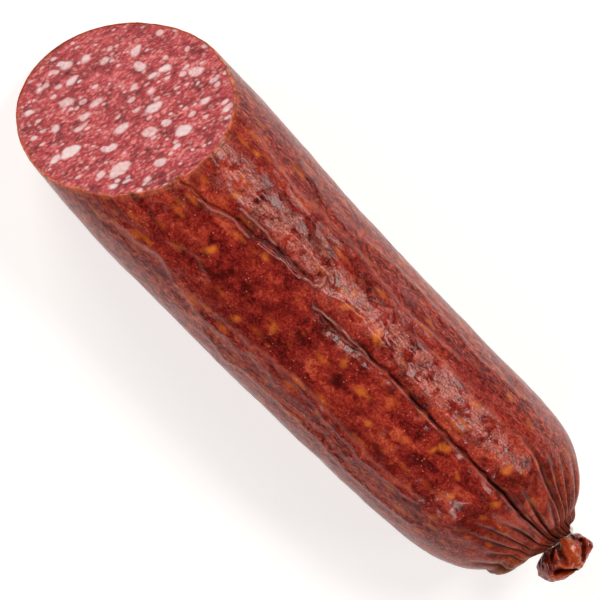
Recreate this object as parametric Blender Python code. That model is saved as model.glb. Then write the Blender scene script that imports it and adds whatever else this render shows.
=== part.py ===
"""A cured sausage lying on its side: the stuffed casing, cut across at a slant at one end, and gathered at
the other under a bent wire clip, past which the casing ends in a crumpled tuft.

Metres, +Z up. The sausage runs along X with its cut end at -X. The origin is on the surface that it lies
on, under the middle of its bounding box.
"""

import math

import bmesh
import bpy
from mathutils import Vector, noise

MM = 0.001

# Driving dimensions
BODY_RADIUS = 30.2 * MM  # half way along
TAPER = 0.0202  # how much radius is lost for each unit of X
SETTLED = 0.45 * MM  # how far the sausage has sunk into the narrow flat that it rests on
CLIP_X = 98.0 * MM  # where the clip squeezes the neck
NECK_RADIUS = 3.8 * MM
NECK_FLATTENING = 0.84  # height of the neck over its width
NECK_LENGTH = 6 * MM  # over which that fades, on each side of the clip
CUT_POINT = (-84.8 * MM, 0, 30 * MM)  # a point on the cut's plane
CUT_LEAN_Y = 0.25  # how far the cut moves along X for each unit of Y ...
CUT_LEAN_Z = 0.95  # ... and for each unit of height

# Outline of the stuffed casing and its tuft: distance along X, radius, rings up to the next row
OUTLINE = (
    (-125 * MM, 26.0 * MM, 4),
    (-98 * MM, 28.9 * MM, 3),
    (-78 * MM, 30.8 * MM, 3),
    (-56 * MM, 31.4 * MM, 6),
    (-16 * MM, 30.4 * MM, 6),
    (34 * MM, 29.5 * MM, 3),
    (60 * MM, 28.9 * MM, 3),
    (71 * MM, 28.0 * MM, 3),
    (80 * MM, 26.0 * MM, 3),
    (86 * MM, 22.8 * MM, 3),
    (91 * MM, 18.5 * MM, 3),
    (CLIP_X - 3.6 * MM, 13.4 * MM, 2),
    (CLIP_X - 1.8 * MM, 8.0 * MM, 2),
    (CLIP_X - 1 * MM, NECK_RADIUS, 1),
    (CLIP_X + 1 * MM, NECK_RADIUS, 2),
    (CLIP_X + 1.8 * MM, 5.0 * MM, 2),
    (CLIP_X + 3.9 * MM, 7.3 * MM, 2),
    (CLIP_X + 7.0 * MM, 8.0 * MM, 2),
    (CLIP_X + 9.3 * MM, 6.4 * MM, 2),
    (CLIP_X + 10.7 * MM, 3.4 * MM, 1),
    (CLIP_X + 9.7 * MM, 1.4 * MM, 1),
)
TUFT_HOLLOW_X = CLIP_X + 8.6 * MM  # the bottom of the dimple in the tuft's end
DOME_DROP = 0.36  # how much lower the gathered end slopes on its upper side, as a share of its radius
DOME_DROP_START = 62 * MM
DOME_DROP_END = 95 * MM
DOME_DROP_FADE = 4 * MM  # before the clip
BULGE = 0.16  # how much further out the -Y side bulges beside the clip, as a share of the radius
BULGE_X = 93.5 * MM
BULGE_LENGTH = 5 * MM

# The centre line bows sideways in plan, and the neck points a little to one side
MIDDLE_Y = -1.85 * MM  # where the bow starts from, which centres the sausage's box on the origin
BOW_MIDDLE_X = 18 * MM
BOW_LENGTH = 50 * MM  # how far from its middle the line goes on bending, before it runs straight
BOW = 0.9 * MM  # sideways, at that distance
NECK_SHIFT = 1.4 * MM  # sideways too
NECK_START_X = 94.5 * MM  # where the shift and the turn start ...
NECK_END_X = 96.5 * MM  # ... and where they are complete
NECK_YAW = math.radians(-12)

# Gathers: the pleats that run back from the clip
UPPER_PLEATS = (  # one by one: angle from the top in degrees, reach back from the clip, depth
    (-45, 16 * MM, 1.3 * MM),
    (-35, 25 * MM, 1.5 * MM),
    (-26, 28 * MM, 1.4 * MM),
    (-15, 24 * MM, 1.5 * MM),
    (0, 40 * MM, 1.6 * MM),
    (12, 24 * MM, 2.4 * MM),
    (34, 36 * MM, 1.8 * MM),
    (43, 24 * MM, 1.9 * MM),
    (52, 20 * MM, 1.7 * MM),
    (65, 17 * MM, 1.5 * MM),
)
LOWER_PLEATS = 12  # about evenly round the rest
PLEAT_COLUMNS = (0.0, 0.16, 0.5, 0.84)  # valley, shoulder, ridge, shoulder: shares of one pleat
PLEAT_REACH = (16 * MM, 42 * MM)  # the shortest and the longest lower pleat, back from the clip
PLEAT_DEPTH = (1.0 * MM, 2.6 * MM)
PLEAT_DEPTH_LIMIT = 0.26  # of the local radius
PLEAT_UNEVENNESS = 0.28  # of the even spacing
PLEAT_HALF_WIDTH = 0.45  # of the gap to the nearer pleat

# The long crease in the casing, along the top: distance along X, then sideways along the surface
CREASE_PATH = (
    (-125 * MM, -3.5 * MM),
    (-54 * MM, -2.2 * MM),
    (-45 * MM, -1.2 * MM),
    (-38 * MM, 1.4 * MM),
    (-30 * MM, 2.3 * MM),
    (-22 * MM, 4.6 * MM),
    (-11 * MM, 5.4 * MM),
    (-3 * MM, 0.9 * MM),
    (6 * MM, 1.0 * MM),
    (14 * MM, 2.1 * MM),
    (26 * MM, 2.8 * MM),
    (38 * MM, 2.1 * MM),
    (54 * MM, 1.3 * MM),
    (70 * MM, 0.6 * MM),
    (82 * MM, -0.6 * MM),
    (CLIP_X, -1.5 * MM),
)
CREASE_GAP_X = -7 * MM  # where the crease fades out and starts again
CREASE_GAP_LENGTH = 7 * MM
CREASE_DEPTH = 1.5 * MM
CREASE_LIP = 0.5 * MM
CREASE_WIDTH = 6.5 * MM
CREASE_FADE = 14 * MM  # before the clip
CREASE_REACH = math.radians(70)  # how far round the mesh's columns bend with the crease

# Soft dents in the casing
DENT_DEPTH = 0.55 * MM
DENT_SIZE = 17 * MM
DENT_FADE = 20 * MM  # before the clip
FLAT_REACH = math.radians(28)  # no dents nearer than this to the line that it lies on

# Tuft
TUFT_START_X = CLIP_X + 2 * MM
TUFT_START_LENGTH = 3 * MM
TUFT_LOBES = 5
TUFT_LOBE_DEPTH = 0.1
TUFT_FOLD_DEPTH = 1.8 * MM
TUFT_FOLD_X = CLIP_X + 7.6 * MM
TUFT_FOLD_LENGTH = 2.6 * MM
TUFT_FOLD_ANGLE = math.radians(-25)
TUFT_FOLD_REACH = math.radians(75)

# Clip: a round wire, bent round the neck until its ends nearly meet underneath
WIRE_RADIUS = 1.0 * MM
CLIP_CLEARANCE = 0.3 * MM
CLIP_OPENING = math.radians(16)
CLIP_STEPS = 30


def ease(share):
    """0 below 0, 1 above 1, and a smooth turn between them."""
    share = min(max(share, 0.0), 1.0)
    return share * share * (3 - 2 * share)


def hump(distance, reach):
    """1 at distance 0, falling smoothly to 0 at reach on both sides."""
    return 1 - ease(abs(distance) / reach)


def smooth_curve(points, steps):
    """Points along a smooth curve through the given 2-D points, with steps[i] points from row i on."""
    points = [Vector(p) for p in points]
    spans = [(b - a).length for a, b in zip(points, points[1:])]
    slopes = [(points[1] - points[0]) / spans[0]]
    for i in range(1, len(points) - 1):
        slopes.append((points[i + 1] - points[i - 1]) / (spans[i] + spans[i - 1]))
    slopes.append((points[-1] - points[-2]) / spans[-1])
    curve = []
    for i, span in enumerate(spans):
        for k in range(steps[i]):
            t = k / steps[i]
            start = points[i] * (1 + 2 * t) * (1 - t) ** 2 + slopes[i] * span * t * (1 - t) ** 2
            end = points[i + 1] * t * t * (3 - 2 * t) + slopes[i + 1] * span * t * t * (t - 1)
            curve.append(start + end)
    return curve + [points[-1]]


def value_along(rows, x):
    """The second number of rows of (x, value), eased between the rows."""
    for (x0, v0), (x1, v1) in zip(rows, rows[1:]):
        if x <= x1:
            return v0 + (v1 - v0) * ease((x - x0) / (x1 - x0))
    return rows[-1][1]


def pleats():
    """Each pleat's valley: its angle from the top, its reach back from the clip, its depth and half width."""
    rows = [(math.radians(angle), reach, depth) for angle, reach, depth in UPPER_PLEATS]
    first = rows[-1][0]
    step = (math.tau + rows[0][0] - first) / (LOWER_PLEATS + 1)
    for i in range(1, LOWER_PLEATS + 1):
        angle = first + step * (i + PLEAT_UNEVENNESS * noise.noise((i * 1.7, 3.1, 0.4)))
        share = min(max(0.5 + noise.noise((0.3, i * 2.3, 7.7)), 0.0), 1.0)
        reach = PLEAT_REACH[0] + (PLEAT_REACH[1] - PLEAT_REACH[0]) * share
        share = min(max(0.5 + noise.noise((5.1, 0.9, i * 1.9)), 0.0), 1.0)
        rows.append((angle, reach, PLEAT_DEPTH[0] + (PLEAT_DEPTH[1] - PLEAT_DEPTH[0]) * share))
    gaps = [following - angle for angle, following in zip(valleys(rows), valleys(rows)[1:])]
    return [(*row, PLEAT_HALF_WIDTH * min(gaps[i - 1], gaps[i])) for i, row in enumerate(rows)]


def valleys(rows):
    """The pleats' angles in order, with the first again after a full turn."""
    return [row[0] for row in rows] + [rows[0][0] + math.tau]


def columns(rows):
    """The angles of the mesh's columns, four to a pleat, so that every valley and ridge has its own."""
    edges = valleys(rows)
    return [a + share * (b - a) for a, b in zip(edges, edges[1:]) for share in PLEAT_COLUMNS]


def signed(angle):
    """The same angle between -pi and pi."""
    return (angle + math.pi) % math.tau - math.pi


def neck_share(x):
    """0 in the body and 1 in the neck."""
    return ease((x - NECK_START_X) / (NECK_END_X - NECK_START_X))


def centre(x):
    """The centre line's point at x."""
    away = abs(x - BOW_MIDDLE_X) / BOW_LENGTH
    bend = min(away, 1.0)
    sideways = MIDDLE_Y + BOW * bend * (2 * away - bend) + NECK_SHIFT * neck_share(x)
    sideways += max(x - CLIP_X, 0.0) * math.sin(NECK_YAW)
    return Vector((x, sideways, BODY_RADIUS - TAPER * x - SETTLED))


def crease_relief(x, sideways):
    """Height of the surface beside the long crease: a lip on one side, a slope on the other."""
    strength = ease(abs(x - CREASE_GAP_X) / CREASE_GAP_LENGTH) * ease((CLIP_X - x) / CREASE_FADE)
    if sideways < 0:
        valley = hump(sideways, 0.3 * CREASE_WIDTH)
    else:
        valley = max(0.0, 1 - sideways / CREASE_WIDTH) ** 1.6
    lip = hump(sideways + 0.32 * CREASE_WIDTH, 0.4 * CREASE_WIDTH)
    return strength * (CREASE_LIP * lip - CREASE_DEPTH * valley)


def gather_relief(x, angle, radius, rows):
    """Height of the surface in the pleats, 0 or less."""
    relief = 0.0
    for valley, reach, depth, half_width in rows:
        off = abs(signed(angle - valley)) / half_width
        relief -= depth * ease(1 - (CLIP_X - x) / reach) * max(0.0, 1 - off) ** 1.3
    return max(relief, -PLEAT_DEPTH_LIMIT * radius)


def dome_drop(x, angle):
    """How much lower the gathered end's upper side is, as a share of its radius."""
    along = ease((x - DOME_DROP_START) / (DOME_DROP_END - DOME_DROP_START))
    return DOME_DROP * along * ease((CLIP_X - x) / DOME_DROP_FADE) * max(math.cos(angle), 0.0) ** 2


def bulge(x, angle):
    """How much further out the -Y side stands beside the clip, as a share of the radius."""
    return BULGE * hump(x - BULGE_X, BULGE_LENGTH) * max(-math.sin(angle), 0.0)


def dent_relief(x, angle):
    """Soft dents, none along the line that the sausage lies on."""
    place = Vector((x, BODY_RADIUS * math.sin(angle), BODY_RADIUS * math.cos(angle))) / DENT_SIZE
    away = ease((math.pi - abs(signed(angle)) - 0.5 * FLAT_REACH) / FLAT_REACH)
    return DENT_DEPTH * noise.noise(place) * away * ease((CLIP_X - x) / DENT_FADE)


def tuft_relief(x, angle, radius):
    """Height of the tuft's surface: rounded lobes, and one deep fold across its upper side."""
    past = ease((x - TUFT_START_X) / TUFT_START_LENGTH)
    lobes = TUFT_LOBE_DEPTH * radius * math.cos(TUFT_LOBES * angle + 0.8)
    round_fold = hump(signed(angle - TUFT_FOLD_ANGLE), TUFT_FOLD_REACH)
    fold = TUFT_FOLD_DEPTH * hump(x - TUFT_FOLD_X, TUFT_FOLD_LENGTH) * round_fold
    return past * (lobes - fold)


def surface_point(x, radius, angle, rows):
    """The casing's point at an angle from the top, on the ring at x."""
    bend = value_along(CREASE_PATH, x) / BODY_RADIUS * hump(signed(angle), CREASE_REACH)
    sideways = signed(angle) * radius
    height = radius
    if x < CLIP_X:
        height += crease_relief(x, sideways) + dent_relief(x, angle)
        height += gather_relief(x, angle, radius, rows)
    else:
        height += tuft_relief(x, angle, radius)
    height *= 1 - dome_drop(x, angle) + bulge(x, angle)
    flattening = 1 - (1 - NECK_FLATTENING) * hump(x - CLIP_X, NECK_LENGTH)
    across = height * math.sin(angle + bend)
    up = height * math.cos(angle + bend) * flattening
    yaw = NECK_YAW * neck_share(x)
    point = centre(x) + Vector((-across * math.sin(yaw), across * math.cos(yaw), up))
    point.z = max(point.z, 0.0)
    return point


def add_object(name, bm, material):
    mesh = bpy.data.meshes.new(name)
    bmesh.ops.recalc_face_normals(bm, faces=bm.faces)
    bm.to_mesh(mesh)
    bm.free()
    mesh.shade_smooth()
    mesh.set_sharp_from_angle(angle=math.radians(40))
    mesh.materials.append(material)
    made = bpy.data.objects.new(name, mesh)
    bpy.context.scene.collection.objects.link(made)
    return made


def add_material(name, colour, roughness, metallic=0.0):
    material = bpy.data.materials.new(name)
    material.use_nodes = True
    shader = material.node_tree.nodes["Principled BSDF"]
    shader.inputs["Base Color"].default_value = (*colour, 1.0)
    shader.inputs["Roughness"].default_value = roughness
    shader.inputs["Metallic"].default_value = metallic
    return material


def build_sausage():
    """The meat in its casing, its gathered neck and the tuft, as one solid with a slanting cut."""
    rows = pleats()
    angles = columns(rows)
    bm = bmesh.new()
    rings = []
    for x, radius in smooth_curve([row[:2] for row in OUTLINE], [row[2] for row in OUTLINE]):
        rings.append([bm.verts.new(surface_point(x, radius, angle, rows)) for angle in angles])
    for ring, following in zip(rings, rings[1:]):
        for i, _ in enumerate(ring):
            j = (i + 1) % len(ring)
            bm.faces.new((ring[i], ring[j], following[j], following[i]))
    hollow = bm.verts.new(centre(TUFT_HOLLOW_X))
    for i, _ in enumerate(rings[-1]):
        bm.faces.new((rings[-1][i], rings[-1][(i + 1) % len(angles)], hollow))
    cut = bmesh.ops.bisect_plane(
        bm,
        geom=bm.verts[:] + bm.edges[:] + bm.faces[:],
        dist=0.01 * MM,
        plane_co=CUT_POINT,
        plane_no=(-1, CUT_LEAN_Y, CUT_LEAN_Z),
        clear_outer=True,
    )
    rim = [edge for edge in cut["geom_cut"] if isinstance(edge, bmesh.types.BMEdge)]
    bmesh.ops.edgeloop_fill(bm, edges=rim)
    return add_object("sausage", bm, add_material("casing", (0.28, 0.055, 0.025), 0.35))


def build_clip():
    """The wire clip: a swept circle on an oval path, in the plane across the neck."""
    half_width = NECK_RADIUS + CLIP_CLEARANCE + WIRE_RADIUS
    half_height = NECK_RADIUS * NECK_FLATTENING + CLIP_CLEARANCE + WIRE_RADIUS
    curve = bpy.data.curves.new("clip", "CURVE")
    curve.dimensions = "3D"
    curve.bevel_depth = WIRE_RADIUS
    curve.bevel_resolution = 3
    curve.use_fill_caps = True
    spline = curve.splines.new("POLY")
    spline.points.add(CLIP_STEPS)
    for i, point in enumerate(spline.points):
        angle = CLIP_OPENING + (math.tau - 2 * CLIP_OPENING) * i / CLIP_STEPS - math.pi
        point.co = (0, half_width * math.sin(angle), half_height * math.cos(angle), 1)
    clip = bpy.data.objects.new("clip", curve)
    clip.location = centre(CLIP_X)
    clip.rotation_euler.z = NECK_YAW
    curve.materials.append(add_material("wire", (0.75, 0.74, 0.7), 0.3, 1.0))
    bpy.context.scene.collection.objects.link(clip)
    return clip


def main():
    for old in list(bpy.data.objects):
        bpy.data.objects.remove(old)
    build_sausage()
    build_clip()


main()
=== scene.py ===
import math

import bpy
import numpy as np
from mathutils import Matrix, Vector, noise


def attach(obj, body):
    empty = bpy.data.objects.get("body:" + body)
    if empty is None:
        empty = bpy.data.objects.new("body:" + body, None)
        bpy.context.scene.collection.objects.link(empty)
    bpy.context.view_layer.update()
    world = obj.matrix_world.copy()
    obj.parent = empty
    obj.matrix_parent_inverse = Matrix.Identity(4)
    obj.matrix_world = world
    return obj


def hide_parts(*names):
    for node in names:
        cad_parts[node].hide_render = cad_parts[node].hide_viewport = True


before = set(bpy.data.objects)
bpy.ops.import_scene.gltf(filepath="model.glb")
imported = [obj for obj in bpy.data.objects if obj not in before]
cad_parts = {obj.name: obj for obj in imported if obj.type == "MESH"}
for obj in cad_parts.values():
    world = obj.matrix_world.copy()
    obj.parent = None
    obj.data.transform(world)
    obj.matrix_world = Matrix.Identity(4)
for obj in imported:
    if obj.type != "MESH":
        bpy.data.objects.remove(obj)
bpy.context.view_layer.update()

# All lengths below are in millimetres. They become metres when a mesh's points are set.
mm = 0.001

form = {  # the solid's own shape, which every piece follows
    "outline": [  # distance along X, radius
        (-125, 26.0), (-98, 28.9), (-78, 30.8), (-56, 31.4), (-16, 30.4), (34, 29.5), (60, 28.9),
        (71, 28.0), (80, 26.0), (86, 22.8), (91, 18.5), (94.4, 13.4), (96.2, 8.0), (97, 3.8), (99, 3.8),
    ],
    "bodyRadius": 30.2,
    "taper": 0.0202,
    "settled": 0.45,
    "clipX": 98,
    "neckRadius": 3.8,
    "neckFlattening": 0.84,
    "neckLength": 6,
    "cutPoint": (-84.8, 0, 30),
    "cutLean": (0.25, 0.95),  # how far the cut moves along X for each unit of Y and of height
    "domeDrop": (0.36, 62, 95, 4),  # share, start, end, fade before the clip
    "bulge": (0.24, 94, 5),  # share, where, reach
    "middleY": -1.85,
    "bow": (18, 50, 0.9),  # middle, length, sideways
    "neckShift": (1.4, 94.5, 96.5),  # sideways, start, end
    "neckYaw": math.radians(-12),
    "creaseReach": math.radians(70),
}

pleatForm = {  # the gathers
    "upper": [  # angle from the top in degrees, reach back from the clip, depth
        (-45, 16, 1.3), (-35, 25, 1.5), (-26, 28, 1.4), (-15, 24, 1.5), (0, 40, 1.6),
        (12, 24, 2.4), (34, 36, 1.8), (43, 24, 1.9), (52, 20, 1.7), (65, 17, 1.5),
    ],
    "lower": 12,
    "unevenness": 0.28,
    "reach": (16, 42),
    "depth": (1.0, 2.6),
    "depthLimit": 0.36,
    "deeper": 1.6,  # than in the plain solid
    "longer": 1.15,
    "between": (0.45, 0.6),  # a smaller pleat between every two: depth and reach, as shares
    "halfWidth": 0.5,
}

creaseForm = {  # the long crease along the top
    "path": [  # distance along X, sideways along the surface
        (-125, -3.5), (-54, -2.2), (-45, -1.2), (-38, 1.4), (-30, 2.3), (-22, 4.6), (-11, 5.4), (-3, 0.9),
        (6, 1.0), (14, 2.1), (26, 2.8), (38, 2.1), (54, 1.3), (70, 0.6), (82, -0.6), (98, -1.5),
    ],
    "gap": (-7, 7),  # where it fades out and starts again, and over what length
    "fade": 14,
    "reach": 70,
}


def ease(share):
    share = np.clip(share, 0.0, 1.0)
    return share * share * (3 - 2 * share)


def hump(distance, reach):
    return 1 - ease(np.abs(distance) / reach)


def bell(distance, width):
    return np.exp(-((distance / width) ** 2))


def signed(angle):
    return (angle + math.pi) % math.tau - math.pi


def valueAlong(rows, x):  # the rows' second number, eased between them
    xs, values = np.array(rows, float).T
    i = np.clip(np.searchsorted(xs, x) - 1, 0, len(xs) - 2)
    return values[i] + (values[i + 1] - values[i]) * ease((x - xs[i]) / (xs[i + 1] - xs[i]))


def bumps(points, size, seed):  # smooth noise between about -1 and 1, with features of that size
    return np.array([noise.noise(p) for p in np.asarray(points) / size + seed * 7.31])


def tracedOutline(rows, steps=24):  # a smooth curve through the outline's rows
    points = np.array(rows, float)
    spans = np.linalg.norm(np.diff(points, axis=0), axis=1)
    slopes = np.vstack([
        (points[1] - points[0]) / spans[0],
        (points[2:] - points[:-2]) / (spans[1:] + spans[:-1])[:, None],
        (points[-1] - points[-2]) / spans[-1],
    ])
    curve = []
    for i, span in enumerate(spans):
        for t in np.arange(steps) / steps:
            start = points[i] * (1 + 2 * t) * (1 - t) ** 2 + slopes[i] * span * t * (1 - t) ** 2
            end = points[i + 1] * t * t * (3 - 2 * t) + slopes[i + 1] * span * t * t * (t - 1)
            curve.append(start + end)
    return np.array(curve + [points[-1]]).T


outlineX, outlineRadius = tracedOutline(form["outline"])


def radiusAt(x):
    return np.interp(x, outlineX, outlineRadius)


def neckShare(x):
    _, start, end = form["neckShift"]
    return ease((x - start) / (end - start))


def centreLine(x):  # its Y and Z at x
    middle, length, sideways = form["bow"]
    away = np.abs(x - middle) / length
    bend = np.minimum(away, 1.0)
    y = form["middleY"] + sideways * bend * (2 * away - bend) + form["neckShift"][0] * neckShare(x)
    y = y + np.maximum(x - form["clipX"], 0) * math.sin(form["neckYaw"])
    return y, form["bodyRadius"] - form["taper"] * x - form["settled"]


def pleatRows():  # each pleat's angle, reach, depth and half width
    rows = [(math.radians(angle), reach, depth) for angle, reach, depth in pleatForm["upper"]]
    step = (math.tau + rows[0][0] - rows[-1][0]) / (pleatForm["lower"] + 1)
    first = rows[-1][0]
    for i in range(1, pleatForm["lower"] + 1):
        angle = first + step * (i + pleatForm["unevenness"] * noise.noise((i * 1.7, 3.1, 0.4)))
        shares = [noise.noise((0.3, i * 2.3, 7.7)), noise.noise((5.1, 0.9, i * 1.9))]
        reach, depth = [
            low + (high - low) * min(max(0.5 + share, 0), 1)
            for share, (low, high) in zip(shares, (pleatForm["reach"], pleatForm["depth"]))
        ]
        rows.append((angle, reach, depth))
    angles = [row[0] for row in rows] + [rows[0][0] + math.tau]
    gaps = [b - a for a, b in zip(angles, angles[1:])]
    full = [(*row, pleatForm["halfWidth"] * min(gaps[i - 1], gaps[i])) for i, row in enumerate(rows)]
    share, shorter = pleatForm["between"]
    small = [
        (row[0] + gap * (0.5 + 0.2 * math.sin(3 * i)), row[1] * shorter, row[2] * share, 0.32 * gap)
        for i, (row, gap) in enumerate(zip(rows, gaps))
    ]
    return full + small


def creaseStrength(x):
    gapX, gapLength = creaseForm["gap"]
    return ease(np.abs(x - gapX) / gapLength) * ease((form["clipX"] - x) / creaseForm["fade"])


def creaseRelief(x, sideways):
    wander = 0.45 * np.sin(x / 5.3) + 0.35 * np.sin(x / 2.9 + 1)
    sideways = sideways + 0.34 * np.sin(x / 1.3) + 0.2 * np.sin(x / 0.66 + 2)
    first = ease((-3 - x) / 8)  # the crease nearer the cut is a fold of film, the other a trough between two banks
    groove = -0.4 * bell(sideways - 0.4, 0.4) - 0.8 * (sideways > 0) * np.maximum(1 - sideways / 4.2, 0) ** 1.6
    fold = groove + 0.34 * bell(sideways + 0.4, 0.32) + 0.25 * bell(sideways + 1.6 + wander, 1.1)
    bankDepth = 0.16 + 0.5 * bell(x - 9, 9)
    bank = -bankDepth * ease((sideways + 3.2 + wander) / 3.2) + 0.34 * bell(sideways + 3.4 + wander, 1.4)
    bank = (sideways < -0.3) * bank + 0.3 * bell(sideways + 0.55 + 0.3 * wander, 0.3)
    trough = -1.35 * (sideways >= -0.3) * np.maximum(1 - sideways / (5.4 + wander), 0) ** 1.25
    trough = trough - 0.5 * bell(sideways - 0.2, 0.4) * ease((x - 8) / 12)
    return creaseStrength(x) * (first * fold + (1 - first) * (bank + trough))


def pleatWobble(back, valley):
    return 0.014 * np.sin(back / 3.1 + valley * 9)


def gatherRelief(x, angle, radius, rows):
    relief = 0 * x
    for valley, reach, depth, halfWidth in rows:
        back = form["clipX"] - x
        off = np.abs(signed(angle - valley - pleatWobble(back, valley))) / halfWidth
        along = ease(1.5 * (1 - back / (pleatForm["longer"] * reach)))
        valley = 0.45 * np.maximum(0, 1 - off) + 0.55 * np.maximum(0, 1 - off) ** 5
        relief -= pleatForm["deeper"] * depth * along * valley
    return np.maximum(relief, -pleatForm["depthLimit"] * radius)


def valleyShadeMask(x, angle, rows):  # painted shade in the bottoms of the pleats
    mask = 0 * x
    for valley, reach, depth, halfWidth in rows:
        back = form["clipX"] - x
        off = np.abs(signed(angle - valley - pleatWobble(back, valley))) / halfWidth
        along = ease(1.6 * (1 - back / (pleatForm["longer"] * reach)))
        mask = np.maximum(mask, along * ease(depth / 1.3) * np.maximum(0, 1 - off / 0.62))
    return mask


def ringPoint(x, angle, height):  # a point at that height from the centre line, in the ring's own plane
    share, start, end, fade = form["domeDrop"]
    along = ease((x - start) / (end - start)) * ease((form["clipX"] - x) / fade)
    height = height * (1 - share * along * np.maximum(np.cos(angle), 0) ** 2
                       + form["bulge"][0] * hump(x - form["bulge"][1], form["bulge"][2])
                       * np.maximum(-np.sin(angle), 0))
    flattening = 1 - (1 - form["neckFlattening"]) * hump(x - form["clipX"], form["neckLength"])
    bend = valueAlong(creaseForm["path"], x) / form["bodyRadius"] * hump(signed(angle), form["creaseReach"])
    across = height * np.sin(angle + bend)
    up = height * np.cos(angle + bend) * flattening
    yaw = form["neckYaw"] * neckShare(x)
    y, z = centreLine(x)
    return np.stack([x - across * np.sin(yaw), y + across * np.cos(yaw), np.maximum(z + up, 0)], axis=-1)


def strokeDistance(points, path):  # the shortest distance from 2-D points to a path
    nearest = np.full(len(points), 1e9)
    for start, end in zip(np.array(path[:-1], float), np.array(path[1:], float)):
        run = end - start
        share = np.clip(((points - start) @ run) / (run @ run), 0, 1)
        nearest = np.minimum(nearest, np.linalg.norm(points - start - share[:, None] * run, axis=1))
    return nearest


def setPoints(piece, points):  # points in millimetres
    piece.data.vertices.foreach_set("co", (np.asarray(points) * mm).astype(np.float32).ravel())
    piece.data.update()


def getPoints(piece):
    points = np.zeros(len(piece.data.vertices) * 3, np.float32)
    piece.data.vertices.foreach_get("co", points)
    return points.reshape(-1, 3) / mm


def setAttribute(piece, name, values):
    attribute = piece.data.attributes.new(name, "FLOAT", "POINT")
    attribute.data.foreach_set("value", np.asarray(values, np.float32).ravel())


def deselectAll():
    for other in bpy.context.selected_objects:
        other.select_set(False)


def newGrid(name, columns, rows):  # a flat grid of points, columns + 1 wide and rows + 1 deep
    deselectAll()
    bpy.ops.mesh.primitive_grid_add(x_subdivisions=columns, y_subdivisions=rows, size=2)
    piece = bpy.context.object
    piece.name = name
    piece.data.name = name
    return piece


def closeUp(piece, merge=0.02):  # doubles merged, holes filled, faces turned outwards
    deselectAll()
    piece.select_set(True)
    bpy.context.view_layer.objects.active = piece
    bpy.ops.object.mode_set(mode="EDIT")
    bpy.ops.mesh.select_all(action="SELECT")
    bpy.ops.mesh.remove_doubles(threshold=merge * mm)
    bpy.ops.mesh.select_all(action="DESELECT")
    bpy.ops.mesh.select_non_manifold(extend=False)
    bpy.ops.mesh.fill_holes(sides=0)
    bpy.ops.mesh.select_all(action="SELECT")
    bpy.ops.mesh.normals_make_consistent(inside=False)
    bpy.ops.object.mode_set(mode="OBJECT")
    bpy.ops.object.shade_smooth()


# Shader maths as expressions on sockets
class Signal:
    def __init__(self, builder, socket):
        self.builder = builder
        self.socket = socket

    def math(self, operation, first, second=0.0):
        return self.builder.node("ShaderNodeMath", {"operation": operation}, {0: first, 1: second})

    def __add__(self, other):
        return self.math("ADD", self, other)

    def __sub__(self, other):
        return self.math("SUBTRACT", self, other)

    def __rsub__(self, other):
        return self.math("SUBTRACT", other, self)

    def __mul__(self, other):
        return self.math("MULTIPLY", self, other)

    def __pow__(self, other):
        return self.math("POWER", self, other)

    __radd__ = __add__
    __rmul__ = __mul__


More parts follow.
